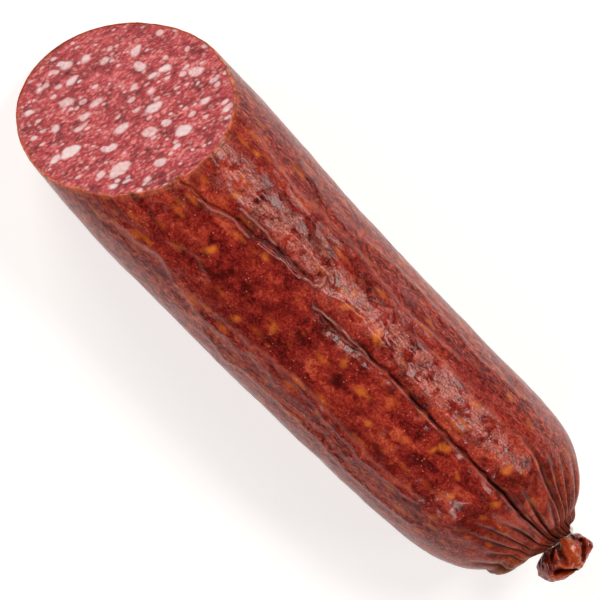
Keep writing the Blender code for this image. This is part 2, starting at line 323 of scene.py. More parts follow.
class Finish:  # one material, built from nodes
    def __init__(self, name, settings):
        self.material = bpy.data.materials.new(name)
        self.material.use_nodes = True
        self.tree = self.material.node_tree
        self.surface = self.tree.nodes["Principled BSDF"]
        self.place = self.node("ShaderNodeTexCoord", {}, {}, "Object")
        for key, value in settings.items():
            self.surface.inputs[key].default_value = value

    def node(self, kind, settings, sockets, out=0):
        made = self.tree.nodes.new(kind)
        for key, value in settings.items():
            if key == "stops":
                ramp = made.color_ramp.elements
                while len(ramp) < len(value):
                    ramp.new(1.0)
                for stop, (position, colour) in zip(ramp, value):
                    stop.position = position
                    stop.color = (*colour, 1.0)
            else:
                setattr(made, key, value)
        for key, value in sockets.items():
            self.feed(made.inputs[key], value)
        return Signal(self, made.outputs[out])

    def feed(self, socket, value):
        if isinstance(value, Signal):
            self.tree.links.new(value.socket, socket)
        else:
            socket.default_value = value

    def noise(self, size, detail=2.0, roughness=0.5, distortion=0.0, place=None):
        return self.node("ShaderNodeTexNoise", {}, {
            "Vector": place or self.place, "Scale": 1 / (size * mm), "Detail": detail,
            "Roughness": roughness, "Distortion": distortion,
        }, "Fac")

    def stretched(self, scale):  # the place, squeezed by a factor along each axis
        return self.node("ShaderNodeMapping", {}, {"Vector": self.place, "Scale": scale}, 0)

    def cells(self, size, out="Distance", place=None):
        return self.node("ShaderNodeTexVoronoi", {}, {
            "Vector": place or self.place, "Scale": 1 / (size * mm)}, out)

    def shifted(self, place, amount):  # a place pushed about by noise, in millimetres
        push = self.node("ShaderNodeTexNoise", {}, {"Vector": self.place, "Scale": 1 / (1.6 * mm)}, "Color")
        centred = self.node("ShaderNodeVectorMath", {"operation": "SUBTRACT"}, {0: push, 1: (0.5, 0.5, 0.5)})
        scaled = self.node("ShaderNodeVectorMath", {"operation": "SCALE"}, {0: centred, "Scale": 2 * amount * mm})
        return self.node("ShaderNodeVectorMath", {"operation": "ADD"}, {0: place, 1: scaled})

    def attribute(self, name):
        return self.node("ShaderNodeAttribute", {"attribute_name": name}, {}, "Fac")

    def step(self, value, low, high):  # 0 below low and 1 above high, with a smooth turn
        return self.node("ShaderNodeMapRange", {"interpolation_type": "SMOOTHSTEP"}, {
            "Value": value, "From Min": low, "From Max": high})

    def colours(self, value, stops):
        return self.node("ShaderNodeValToRGB", {"stops": stops}, {"Fac": value}, "Color")

    def mix(self, share, first, second, kind="MIX"):
        def colour(value):
            return value if isinstance(value, Signal) else (*value, 1.0)
        return self.node("ShaderNodeMix", {"data_type": "RGBA", "blend_type": kind}, {
            0: share, 6: colour(first), 7: colour(second)}, 2)

    def redness(self, colour):  # the red channel, as a number
        return self.node("ShaderNodeSeparateColor", {}, {"Color": colour}, "Red")

    def bump(self, height, depth, normal=None):  # depth in millimetres
        sockets = {"Height": height, "Distance": depth * mm, "Strength": 1.0}
        if normal:
            sockets["Normal"] = normal
        return self.node("ShaderNodeBump", {}, sockets, "Normal")

    def use(self, **links):
        for key, value in links.items():
            self.feed(self.surface.inputs[key.replace("_", " ")], value)
        return self.material


# Casing
casing = {
    "columns": 280,
    "rows": 338,
    "crowding": ((1.5, 0.9), (3.2, 0.16)),  # more columns near the top: how many, over what angle
    "lip": [(-0.95, -0.3), (-0.75, 0.15), (-0.5, 0.42), (-0.2, 0.32), (0, -0.1)],  # inwards, proud of the cut
    "strokes": [  # thin folds of the film: points along X and sideways from the top, width, height
        ([(-48, -1.8), (-45, -1.6), (-42, -0.2), (-38.5, 1), (-35, 1.2), (-31, 1.1)], 0.45, 0.22),
        ([(-31, 1.2), (-27, 1.7), (-24, 2.4), (-21, 2.5), (-18, 3.2), (-14, 3.3), (-10, 3)], 0.9, 0.4),
        ([(-38, 4.6), (-33, 5.4), (-29, 5.4), (-24, 5.2)], 0.3, 0.28),
        ([(-37, 5.4), (-32, 6.3), (-26, 6)], 0.6, -0.3),
        ([(-14, 5), (-10.5, 5.6), (-8.8, 6.6), (-8.8, 7.8), (-10, 9)], 0.35, -0.45),
        ([(-12, 4.4), (-9, 4.9), (-7.4, 6.2), (-7.2, 7.8), (-8, 9.2)], 0.4, 0.3),
        ([(-4.5, 0.8), (1.5, 2), (5.5, 1.8), (9, 1.9), (13.5, 2.3), (17, 1.7)], 0.3, 0.35),
        ([(-9, 5), (-4, 6.3), (0.5, 7.7), (4, 7.8), (8, 8.7), (13, 7.5), (16.5, 7.1), (22, 6.9), (26.5, 6.3),
          (32, 6), (41, 5.5), (52, 5)], 1.1, 0.42),
        ([(-42, 9.3), (-36, 11), (-31, 10.8), (-26, 10), (-21, 11.2), (-15, 11.4), (-8, 10.5)], 1.2, 0.4),
        ([(-56, 9), (-51, 8), (-46, 9.5), (-42, 9.3)], 1.3, 0.35),
        ([(12, 12), (18, 10.5), (24, 12), (31, 11), (37, 9)], 0.8, 0.25),
        ([(30, -9), (36, -7.5), (43, -8.5), (50, -7)], 0.9, 0.22),
        ([(-46, -17), (-41, -14), (-36, -13.5), (-30, -15.5)], 0.5, 0.28),
        ([(-50, -9), (-43, -10), (-35, -8.5), (-28, -10)], 0.7, 0.2),
        ([(-58, -27), (-45, -22), (-30, -24), (-12, -21), (4, -23)], 1.2, 0.5),
        ([(-20, -27), (0, -30), (22, -26), (44, -29), (60, -27)], 1.3, 0.5),
        ([(-8, -20), (10, -17.5), (26, -19), (42, -20), (56, -18)], 1.0, 0.55),
        ([(-50, 24), (-30, 21), (-8, 24), (14, 20), (36, 23)], 1.2, 0.3),
        ([(-34, 32), (-10, 29), (16, 33), (42, 29), (60, 31)], 1.3, 0.3),
        ([(20, 16), (34, 17.5), (48, 15), (58, 16.5)], 0.8, 0.22),
    ],
    "firstRow": 0.5,
    "overhang": (2.0, 96.1, 1.5),  # how far, from where, over what length
    "ambers": [  # fat that shows through: along X, sideways from the top, size
        (-29, -24.5, 3.2), (-17, -18.5, 3), (-41, 6.5, 3), (-45.5, 19.5, 2.6), (13, -4.5, 3), (21, -6.5, 3.2),
        (2.5, 7.5, 2.8), (14, 8, 4.2), (0.5, 12.5, 2.6), (49, -2, 5), (67, 7, 4.6), (54.5, 25.5, 2.6),
        (81, 21.5, 3), (80.5, 7, 3.2), (61.5, -11, 3.2), (-36, -9, 3.4), (-24, 1, 2.6), (30, -12, 2.4),
        (40, -8, 2.2), (72, -4, 3), (-8, -12, 2.4), (58, -5, 2.6),
    ],
    "shadows": [  # dark lean meat that shows through
        (-27, -9, 2.6), (4, -6.5, 2.4), (15, -9, 5), (27.5, 0, 2.6), (28.5, 11, 3), (70, 13, 3.6),
        (-34, -14, 3), (46, 9, 3), (36, -16, 4), (-12, 16, 3), (60, 4, 2.6),
    ],
    "moreAmbers": 260,
    "moreShadows": 130,
}


def casingColumns():
    fine = np.linspace(-math.pi, math.pi, 4001)
    density = 1 + sum(share * bell(fine, width) for share, width in casing["crowding"])
    total = np.concatenate([[0], np.cumsum((density[1:] + density[:-1]) / 2)])
    return np.interp(np.linspace(0, total[-1], casing["columns"] + 1), total, fine)


def casingHeight(x, angle, rows):  # radius with the larger folds
    radius = radiusAt(x)
    sideways = signed(angle) * radius
    place = np.stack([x, form["bodyRadius"] * np.sin(angle), form["bodyRadius"] * np.cos(angle)], -1)
    above = ease((math.pi - np.abs(signed(angle)) - 0.25) / 0.5)  # none where the sausage rests
    calm = above * ease((form["clipX"] - x) / 20)
    flat = place.reshape(-1, 3)

    def field(size, seed, squeeze=(1, 1, 1)):
        return bumps(flat * np.array(squeeze), size, seed).reshape(x.shape)

    swell = 0.34 * field(17, 0) + 0.3 * field(9, 1) - 0.62 * np.abs(field(11, 5, (0.7, 1, 1)))
    swell += 0.14 * field(4.6, 2) - 0.36 * np.abs(field(5.2, 6, (0.75, 1, 1)))
    wrinkles = 0.12 * np.abs(field(2.6, 3, (0.45, 1, 1))) + 0.06 * field(1.5, 4)
    calm = calm * (1 - 0.55 * ease((np.abs(signed(angle)) - 0.6) / 0.8))
    height = radius + creaseRelief(x, sideways) + calm * swell
    onSurface = np.stack([x, sideways + valueAlong(creaseForm["path"], x)], -1).reshape(-1, 2)
    for path, width, rise in casing["strokes"]:
        wobble = 0.25 * np.sin(x / 2.3 + path[0][0]) + 0.2 * np.sin(x / 1.3 + path[0][1])
        moved = onSurface + np.stack([0 * x, wobble], -1).reshape(-1, 2)
        height = height + rise * bell(strokeDistance(moved, path), width).reshape(x.shape)
    return height + gatherRelief(x, angle, radius, rows) - ease((form["clipX"] - x) / 8) * wrinkles


def lipHighlightAndShade(x, sideways):  # the thin raised edges of the film as painted highlights, and the painted shade beside them
    edge, shade = 0 * x, 0 * x
    wobble = 0.2 * np.sin(x / 1.4) + 0.12 * np.sin(x / 0.7 + 1)
    surface = np.stack([x, sideways + wobble], -1).reshape(-1, 2)
    for path, width, rise in casing["strokes"]:
        if width < 0.5 and rise > 0:
            away = strokeDistance(surface, path).reshape(x.shape)
            # painted highlight on the thin raised lip, painted shade just beside it
            edge = np.maximum(edge, bell(away, 0.26))
            shade = np.maximum(shade, bell(away - 0.75, 0.34))
        elif abs(path[0][1]) > 15:  # painted highlight along the long soft ridges low on the sides
            away = strokeDistance(surface, path).reshape(x.shape)
            edge = np.maximum(edge, 0.4 * bell(away, 0.7 * width))
    return edge, shade


def cutX(y, z):
    return form["cutPoint"][0] + form["cutLean"][0] * y + form["cutLean"][1] * (z - form["cutPoint"][2])


def rimPoints(angles, rows):  # where the casing's surface meets the cut, and that X on each column
    x = np.full_like(angles, form["cutPoint"][0])
    for _ in range(12):
        points = ringPoint(x, angles, casingHeight(x, angles, rows))
        x = cutX(points[:, 1], points[:, 2])
    return ringPoint(x, angles, casingHeight(x, angles, rows)), x


cutNormal = np.array([-1, *form["cutLean"]])
cutNormal /= np.linalg.norm(cutNormal)


def spotMask(x, sideways, around, spots, seed):  # soft-edged blotches, with uneven outlines
    mask = np.zeros_like(x)
    generator = np.random.default_rng(seed)
    place = np.stack([x, sideways, 0 * x], -1).reshape(-1, 3)
    warpX = bumps(place, 2.4, seed).reshape(x.shape)
    warpY = bumps(place, 2.4, seed + 1).reshape(x.shape)
    for spotX, spotSide, size in spots:
        stretch, turn = generator.uniform(0.75, 1.35), generator.uniform(0, math.pi)
        near = np.abs(x - spotX) < size * 1.5
        dx = (x - spotX)[near] + 0.35 * size * warpX[near]
        dy = (sideways - spotSide)[near]
        dy = (dy + around / 2) % around - around / 2 + 0.35 * size * warpY[near]
        along = dx * math.cos(turn) + dy * math.sin(turn)
        across = dy * math.cos(turn) - dx * math.sin(turn)
        off = np.hypot(along / stretch, across * stretch) / (size / 2)
        mask[near] = np.maximum(mask[near], 1 - ease((off - 0.2) / 1.15))
    return mask


def moreSpots(count, low, high, seed):
    generator = np.random.default_rng(seed)
    xs = generator.uniform(-108, 92, count)
    sides = generator.uniform(-95, 95, count)
    sizes = low + (high - low) * generator.random(count) ** 2
    return list(zip(xs, sides, sizes))


def makeCasing():
    rows = pleatRows()
    angles = casingColumns()
    rim, rimX = rimPoints(angles, rows)
    profile = np.concatenate([[0], np.cumsum(np.hypot(np.diff(outlineX), np.diff(outlineRadius)))])
    start = np.interp(rimX, outlineX, profile) + casing["firstRow"]
    end = np.interp(form["clipX"] + 0.8, outlineX, profile)
    lipRows = len(casing["lip"])
    shares = np.linspace(0, 1, casing["rows"] + 1 - lipRows)
    x = np.interp(start + shares[:, None] * (end - start), profile, outlineX)
    angle = np.broadcast_to(angles, x.shape)
    height = casingHeight(x, angle, rows)
    points = ringPoint(x, angle, height)
    overhang, where, reach = casing["overhang"]  # the gathers reach out over the clip from above
    points[..., 0] += overhang * hump(x - where, reach) * ease((np.cos(angle) - 0.6) / 0.2)
    inwards = rim.mean(axis=0) - rim
    inwards -= np.outer(inwards @ cutNormal, cutNormal)
    inwards /= np.linalg.norm(inwards, axis=1)[:, None]
    uneven = 1 + 0.55 * bumps(rim, 5, 11) + 0.6 * bumps(rim, 1.8, 12)
    upper = 0.45 + 0.75 * ease((rim[:, 2] - 12) / 40)  # the lip is wider on top
    lip = [
        rim - inwards * (depth * uneven * upper)[:, None] + np.outer(proud * uneven * upper, cutNormal)
        for depth, proud in casing["lip"]
    ]
    points = np.concatenate([lip, points])
    piece = newGrid("casing", casing["columns"], casing["rows"])
    grid = getPoints(piece).reshape(casing["rows"] + 1, casing["columns"] + 1, 3)
    assert grid[0, 0, 1] < grid[-1, 0, 1] and grid[0, 0, 0] < grid[0, -1, 0]
    setPoints(piece, points.reshape(-1, 3))
    radius = radiusAt(x)
    trueAngle = angle + valueAlong(creaseForm["path"], x) / form["bodyRadius"] * hump(angle, form["creaseReach"])
    sideways = trueAngle * form["bodyRadius"]
    around = math.tau * form["bodyRadius"]
    ambers = np.maximum(
        spotMask(x, sideways, around, casing["ambers"], 21),
        (0.25 + 0.3 * ease((np.abs(trueAngle) - 0.35) / 0.5))
        * spotMask(x, sideways, around, moreSpots(casing["moreAmbers"], 1.2, 3.6, 22), 23))
    shadows = np.maximum(
        spotMask(x, sideways, around, casing["shadows"], 24),
        0.6 * spotMask(x, sideways, around, moreSpots(casing["moreShadows"], 1.5, 6, 25), 26))
    # painted shade: the pleats' bottoms and the neck by the clip are darkened in colour
    valleyShade = np.maximum(valleyShadeMask(x, angle, rows), ease((x - 92.5) / 4) * (0.6 + 0.4 * bell(angle, 0.8)))
    # painted shade along the crease line
    crease = creaseStrength(x) * bell(angle * radius - 0.3, 0.55) * (0.35 + 0.65 * ease((x + 4) / 10))
    # where the key lamp reflects: dry pebbled film that also gets painted sheen
    film = np.maximum(bell(trueAngle - 0.36, 0.17) * ease((74 - x) / 14),
                      bell(x - 9, 8) * bell(angle * radius + 2.3, 1.5))
    film = np.maximum(film, 0.4 * ease((-44 - x) / 16) * bell(trueAngle + 0.1, 0.5))
    pad = np.zeros((lipRows, casing["columns"] + 1))
    lipShares = np.array([0.1, 0.5, 1, 0.8, 0.4])[:, None] + pad
    rimShare = np.concatenate([lipShares, 0.4 - 0.4 * ease((profileDistance(x, start, profile) - 0.1) / 0.8)])
    lipHighlights, lipShade = lipHighlightAndShade(x, sideways)
    # the painted shade beside the film's raised lips joins the crease's painted shade
    crease = np.maximum(crease, 0.7 * lipShade)
    onCrease = angle * radius
    # a broken painted highlight along the lip beside the crease
    creaseLipHighlight = bell(onCrease + 0.75, 0.3) * ease((x - 2) / 8) * creaseStrength(x) * np.abs(np.sin(x / 3.7))
    for name, values in (("amber", ambers), ("shadow", shadows), ("valley", valleyShade), ("crease", crease),
                         ("film", film), ("filmEdge", np.maximum(lipHighlights, 0.8 * creaseLipHighlight))):
        setAttribute(piece, name, np.concatenate([pad, values]))
    setAttribute(piece, "rim", rimShare)
    setAttribute(piece, "gather", np.concatenate([pad, ease((x - 62) / 32)]))
    olive = ease((x - 86) / 8) * (0.06 + 0.8 * bell(signed(angle + 1.3), 0.45))
    setAttribute(piece, "olive", np.concatenate([pad, olive]))
    setAttribute(piece, "flank", np.concatenate([pad, ease((np.abs(trueAngle) - 0.3) / 0.7)]))
    closeUp(piece)
    return piece, rim, inwards


def profileDistance(x, start, profile):  # how far along the outline from the first row
    return np.interp(x, outlineX, profile) - start


def casingFinish():
    f = Finish("curedCasing", {
        "Subsurface Weight": 0.1, "Subsurface Radius": (1.0, 0.25, 0.1), "Subsurface Scale": 0.5 * mm,
        "Specular IOR Level": 0.2,
    })
    along = f.stretched((0.32, 1, 1))
    patches = f.step(f.noise(8, 2, 0.5, 0.5), 0.34, 0.66)
    grains = f.step(f.noise(2.6, 3, 0.58, 0.9), 0.33, 0.67)
    specks = f.step(f.noise(0.6, 3, 0.65, 0.3), 0.34, 0.66)
    streaks = f.step(f.noise(0.5, 3, 0.65, 0.2, along), 0.34, 0.66)
    flank = f.attribute("flank")
    fine = specks + flank * (streaks - specks)
    chunks = f.redness(f.node("ShaderNodeTexVoronoi", {"feature": "SMOOTH_F1"}, {
        "Vector": f.shifted(along, 0.7), "Scale": 1 / (3.8 * mm), "Smoothness": 0.4}, "Color"))
    coarse = patches * 0.2 + chunks * 0.36 - 0.28
    tone = coarse * (1 - 0.6 * flank) + (grains - 0.5) * (0.26 - 0.08 * flank) + 0.5
    tone = tone + (fine - 0.5) * (0.24 + 0.5 * flank)
    colour = f.colours(tone, [
        (0.20, (0.06, 0.004, 0.003)), (0.38, (0.16, 0.010, 0.008)), (0.54, (0.255, 0.020, 0.014)),
        (0.70, (0.37, 0.043, 0.023)), (0.88, (0.53, 0.098, 0.044)),
    ])
    grainyFilmAndSheen = f.attribute("film") * f.step(f.noise(4.5, 2, 0.55, 0.8), 0.42, 0.58)  # dry, pebbled film, where the painted sheen goes
    # painted sheen: a pale pink film colour where the key lamp reflects
    colour = f.mix(grainyFilmAndSheen * (0.18 + 0.58 * specks), colour, (0.60, 0.19, 0.145))
    # painted shade: dark dots in the pits of the pebbled film
    pitShade = (1 - f.step(f.cells(1.1), 0.12, 0.36)) * f.step(f.redness(f.cells(1.1, "Color")), 0.3, 0.5)
    colour = f.mix(grainyFilmAndSheen * pitShade * 0.5, colour, (0.09, 0.010, 0.008))
    bits = f.cells(2.6, place=f.shifted(along, 0.5))
    chosen = f.step(f.redness(f.cells(2.6, "Color", f.shifted(along, 0.5))), 0.6, 0.85)
    colour = f.mix((1 - f.step(bits, 0.1, 0.5)) * chosen * (0.5 + 0.2 * flank), colour, (0.58, 0.13, 0.018))
    colour = f.mix(f.attribute("amber") * (0.4 + 0.5 * grains), colour, (0.66, 0.165, 0.026))
    colour = f.mix(f.attribute("shadow") * (0.45 + 0.5 * specks), colour, (0.05, 0.003, 0.002))
    # painted shade: the flanks darkened in colour
    colour = f.mix(flank * (0.2 - 0.1 * grains), colour, (0.08, 0.004, 0.004))
    colour = f.mix(f.attribute("gather") * (0.15 + 0.3 * grains), colour, (0.44, 0.065, 0.022))
    # painted shade in the pleats' valleys and at the neck
    colour = f.mix(f.attribute("valley") * 0.94, colour, (0.022, 0.002, 0.001))
    # painted shade in the crease and beside the film's lips
    colour = f.mix(f.attribute("crease") * 0.7, colour, (0.06, 0.004, 0.002))
    colour = f.mix(f.attribute("olive") * (0.3 + 0.5 * grains), colour, (0.26, 0.11, 0.016))
    # painted highlight on the film's raised lips and ridges
    colour = f.mix(f.attribute("filmEdge") * 0.6, colour, (0.55, 0.20, 0.16))
    colour = f.mix(f.attribute("rim") * (0.2 + 0.7 * grains), colour, (0.68, 0.20, 0.10))
    glints = (1 - f.step(f.cells(1.2), 0.06, 0.22)) * f.step(f.redness(f.cells(1.2, "Color")), 0.66, 0.72)
    colour = f.mix(glints * (0.1 + 0.5 * grains), colour, (0.90, 0.42, 0.28))
    pebbles = f.cells(0.62, place=f.shifted(along, 0.35))
    normal = f.bump(pebbles * (0.07 + 0.93 * grainyFilmAndSheen), 0.13)
    normal = f.bump(f.noise(2.2, 3, 0.55, 0.6), 0.13, normal)
    normal = f.bump(streaks * (0.1 + 0.9 * flank), 0.05, normal)
    hollow = f.attribute("valley") + f.attribute("crease")
    roughness = 0.12 + 0.08 * f.noise(1.8, 2, 0.6) + 0.1 * grainyFilmAndSheen + 0.5 * hollow
    return f.use(Base_Color=colour, Roughness=roughness, Normal=normal)


# Cut face
cutFace = {
    "cells": 300,
    "inset": 0.45,
    "skirt": 0.9,
    "fat": [  # pieces of fat: across the face, height, size
        (-12, 49.5, 5.4), (-18.5, 37, 4.9), (23, 35.5, 4.3), (-9.5, 22.5, 4.2), (7, 38.5, 4.2), (8.5, 49.5, 4.6),
        (1.5, 44.5, 4.2), (-3.5, 39, 3.8), (15.5, 19.5, 3.7), (-2, 11.5, 3.7), (-4, 17, 3.3), (-2.5, 54, 3.4),
        (-9.5, 42.5, 3.2), (3.5, 13, 2.9), (7, 17, 2.7), (13, 25, 3.1), (17.5, 29.5, 3.2), (13.5, 29.5, 2.5),
        (7.5, 29.5, 2.3), (10, 33.5, 2.3), (-3.5, 27.5, 3.3), (-8.5, 29.5, 3.0), (18.5, 45, 2.7),
        (-19.5, 19, 2.6), (-17, 28, 2.6), (-12.5, 32, 2.3), (-23, 36.5, 2.8), (-12.5, 14, 2.2),
        (-8, 16.5, 2.0), (15, 58, 3.2), (21, 50.5, 2.1), (-8.5, 56.5, 2.2), (-16.5, 53, 2.2), (-12.5, 58.5, 2.2),
    ],
    "smallFat": 210,
    "flecks": 1500,
}


def blobMask(across, upslope, blobs, seed, softness):
    generator = np.random.default_rng(seed)
    place = np.stack([across, upslope, 0 * across], -1)
    warps = [bumps(place, 2.2, seed + i) for i in (1, 2)]
    fine = [bumps(place, 0.8, seed + i) for i in (3, 4)]
    mask = np.zeros_like(across)
    tone = np.zeros_like(across)
    for a, b, size in blobs:
        stretch, turn = generator.uniform(0.98, 1.4), generator.normal(-0.32, 0.3)
        near = (np.abs(across - a) < size) & (np.abs(upslope - b) < size)
        dx = (across - a)[near] + 0.14 * size * warps[0][near] + 0.02 * size * fine[0][near]
        dy = (upslope - b)[near] + 0.14 * size * warps[1][near] + 0.02 * size * fine[1][near]
        along = dx * math.cos(turn) + dy * math.sin(turn)
        side = dy * math.cos(turn) - dx * math.sin(turn)
        off = (np.hypot(along / stretch, side * stretch) - size / 2) / softness
        share = 1 - ease(off * 0.5 + 0.5)
        shade = generator.uniform(0.0, 1.0)
        tone[near] = np.where(share > mask[near], shade, tone[near])
        mask[near] = np.maximum(mask[near], share)
    return mask, tone


def makeCutFace(rim, inwards):
    cells = cutFace["cells"]
    piece = newGrid("cutFace", cells, cells)
    square = getPoints(piece)[:, :2] * mm
    u = square[:, 0] * np.sqrt(1 - square[:, 1] ** 2 / 2)
    v = square[:, 1] * np.sqrt(1 - square[:, 0] ** 2 / 2)
    middle = rim[:-1].mean(axis=0)
    edge = rim + inwards * cutFace["inset"]
    across = np.array([form["cutLean"][0], 1, 0]) / math.hypot(form["cutLean"][0], 1)
    upslope = np.cross(across, cutNormal)
    upslope *= np.sign(upslope[2])
    offsets = edge - middle
    rimAngle = np.unwrap(np.arctan2(offsets @ across, offsets @ upslope))
    order = np.argsort(rimAngle)
    share = np.hypot(u, v)
    turn = np.arctan2(u, v)
    turn = (turn - rimAngle[order[0]]) % math.tau + rimAngle[order[0]]
    reach = np.stack([np.interp(turn, rimAngle[order], offsets[order, i], period=None) for i in range(3)], -1)
    points = middle + share[:, None] * reach
    points += np.outer((form["cutPoint"] - points) @ cutNormal, cutNormal)
    scale = math.hypot(1, form["cutLean"][1])
    a, b = points[:, 1], (points[:, 2] - form["cutPoint"][2]) * scale
    fat, tone = blobMask(a, b, [(y, (z - 30) * scale, size) for y, z, size in cutFace["fat"]], 31, 0.55)
    generator = np.random.default_rng(32)
    small = [(generator.uniform(-31, 31), generator.uniform(-43, 43), 0.8 + 1.6 * generator.random() ** 2)
             for _ in range(cutFace["smallFat"])]
    smallFat, smallTone = blobMask(a, b, small, 33, 0.25)
    flecks = [(generator.uniform(-31, 31), generator.uniform(-43, 43), generator.uniform(0.35, 1.1))
              for _ in range(cutFace["flecks"])]
    fleck, _ = blobMask(a, b, flecks, 36, 0.2)
    place = np.stack([a, b, 0 * a], -1)
    relief = 0.05 * bumps(place, 1.4, 41) + 0.04 * bumps(place, 0.7, 42) + 0.1 * bumps(place, 6, 43)
    relief += 0.07 * np.maximum(fat, 0.6 * smallFat)
    relief *= 1 - ease((share - 0.985) / 0.015)
    points += np.outer(relief, cutNormal)
    setPoints(piece, points)
    setAttribute(piece, "fat", np.maximum(fat, 0.8 * smallFat))
    setAttribute(piece, "fatTone", np.where(fat > smallFat, tone, smallTone))
    setAttribute(piece, "fleck", fleck)
    setAttribute(piece, "edge", ease((share - 0.955) / 0.045))
    deselectAll()
    piece.select_set(True)
    bpy.context.view_layer.objects.active = piece
    bpy.ops.object.mode_set(mode="EDIT")
    bpy.ops.mesh.select_all(action="DESELECT")
    bpy.ops.mesh.select_non_manifold(extend=False)
    bpy.ops.mesh.extrude_edges_move(TRANSFORM_OT_translate={"value": tuple(-cutFace["skirt"] * mm * cutNormal)})
    bpy.ops.object.mode_set(mode="OBJECT")
    closeUp(piece)
    return piece


def cutFinish():
    f = Finish("curedMeat", {
        "Specular IOR Level": 0.35,
        "Subsurface Weight": 0.1, "Subsurface Radius": (1.0, 0.35, 0.25), "Subsurface Scale": 0.4 * mm,
    })
    fibres = f.stretched((1, 0.42, 1))
    patches = f.step(f.noise(5, 2, 0.5, 0.6), 0.34, 0.66)
    grains = f.step(f.noise(1.5, 5, 0.64, 1.2, fibres), 0.32, 0.68)
    specks = f.step(f.noise(0.5, 2, 0.6, 0.4, fibres), 0.32, 0.68)
    tone = patches * 0.26 + grains * 0.46 + specks * 0.28
    colour = f.colours(tone, [
        (0.12, (0.075, 0.002, 0.004)), (0.34, (0.23, 0.006, 0.011)), (0.55, (0.385, 0.024, 0.034)),
        (0.72, (0.52, 0.075, 0.083)), (0.9, (0.65, 0.21, 0.205)),
    ])
    colour = f.mix(f.attribute("fleck") * 0.55, colour, (0.68, 0.31, 0.29))
    fatColour = f.mix(f.attribute("fatTone"), (0.74, 0.60, 0.62), (0.64, 0.34, 0.34))
    fatColour = f.mix(f.step(f.noise(1.1, 3), 0.35, 0.65) * 0.5, fatColour, (0.82, 0.72, 0.74))
    colour = f.mix(f.attribute("fat") * (0.82 + 0.18 * specks), colour, fatColour)
    colour = f.mix(f.attribute("edge") * (0.15 + 0.7 * grains), colour, (0.42, 0.06, 0.025))
    normal = f.bump(f.noise(0.6, 2, 0.5), 0.1)
    normal = f.bump(grains, 0.1, normal)
    roughness = 0.26 + 0.14 * f.noise(1.5, 2)
    return f.use(Base_Color=colour, Roughness=roughness, Normal=normal)


# Tuft of casing past the clip
tuft = {
    "columns": 150,
    "rows": 120,
    "profile": [  # distance past the clip, radius
        (-0.9, 3.3), (0.6, 3.7), (1.7, 4.9), (3.9, 7.2), (7.0, 7.9), (9.3, 6.3), (10.6, 3.4), (9.9, 1.2), (9.4, 0.02),
    ],
    "flattening": (0.84, 0.97),
    "strokes": [  # seen from above, from the tuft's middle: points along and sideways, width, height
        ([(-0.9, 6.2), (1.2, 5.4), (2.8, 3.6)], 0.7, -2.6),
        ([(-5.2, 1.6), (-1, 2.6), (3.3, 2.3)], 1.7, 1.5),
        ([(0.2, -2.8), (2.2, -0.6), (3.9, 2.4)], 0.55, 0.9),
        ([(1.6, -4.2), (3.0, -1.8), (4.0, 0.6)], 0.9, -3.2),
        ([(2.3, -6.5), (3.9, -3.2), (4.6, 1.2)], 0.7, 0.9),
        ([(-1.8, -3.7), (-3.4, -3.2)], 0.6, -1.8),
        ([(-5.5, -3.4), (-2.6, -1.2), (0.4, -0.9)], 0.7, -1.6),
        ([(-4.6, -5), (-2.0, -4.9), (0.6, -5.6)], 0.5, -1.1),
        ([(-4.6, 3.6), (-2.4, 4.6), (-1.2, 6.6)], 0.6, -1.4),
    ],
    "lobes": [(0.24, 0.9, 55), (0.1, 0.45, 56)],  # depth, size around, seed
    "stretch": 0.15,  # slantwise
    "aside": 1.0,
    "lean": (3.7, 4.6, 6, 6.5),  # back over the clip: how far, from what height to what height, how wide
}


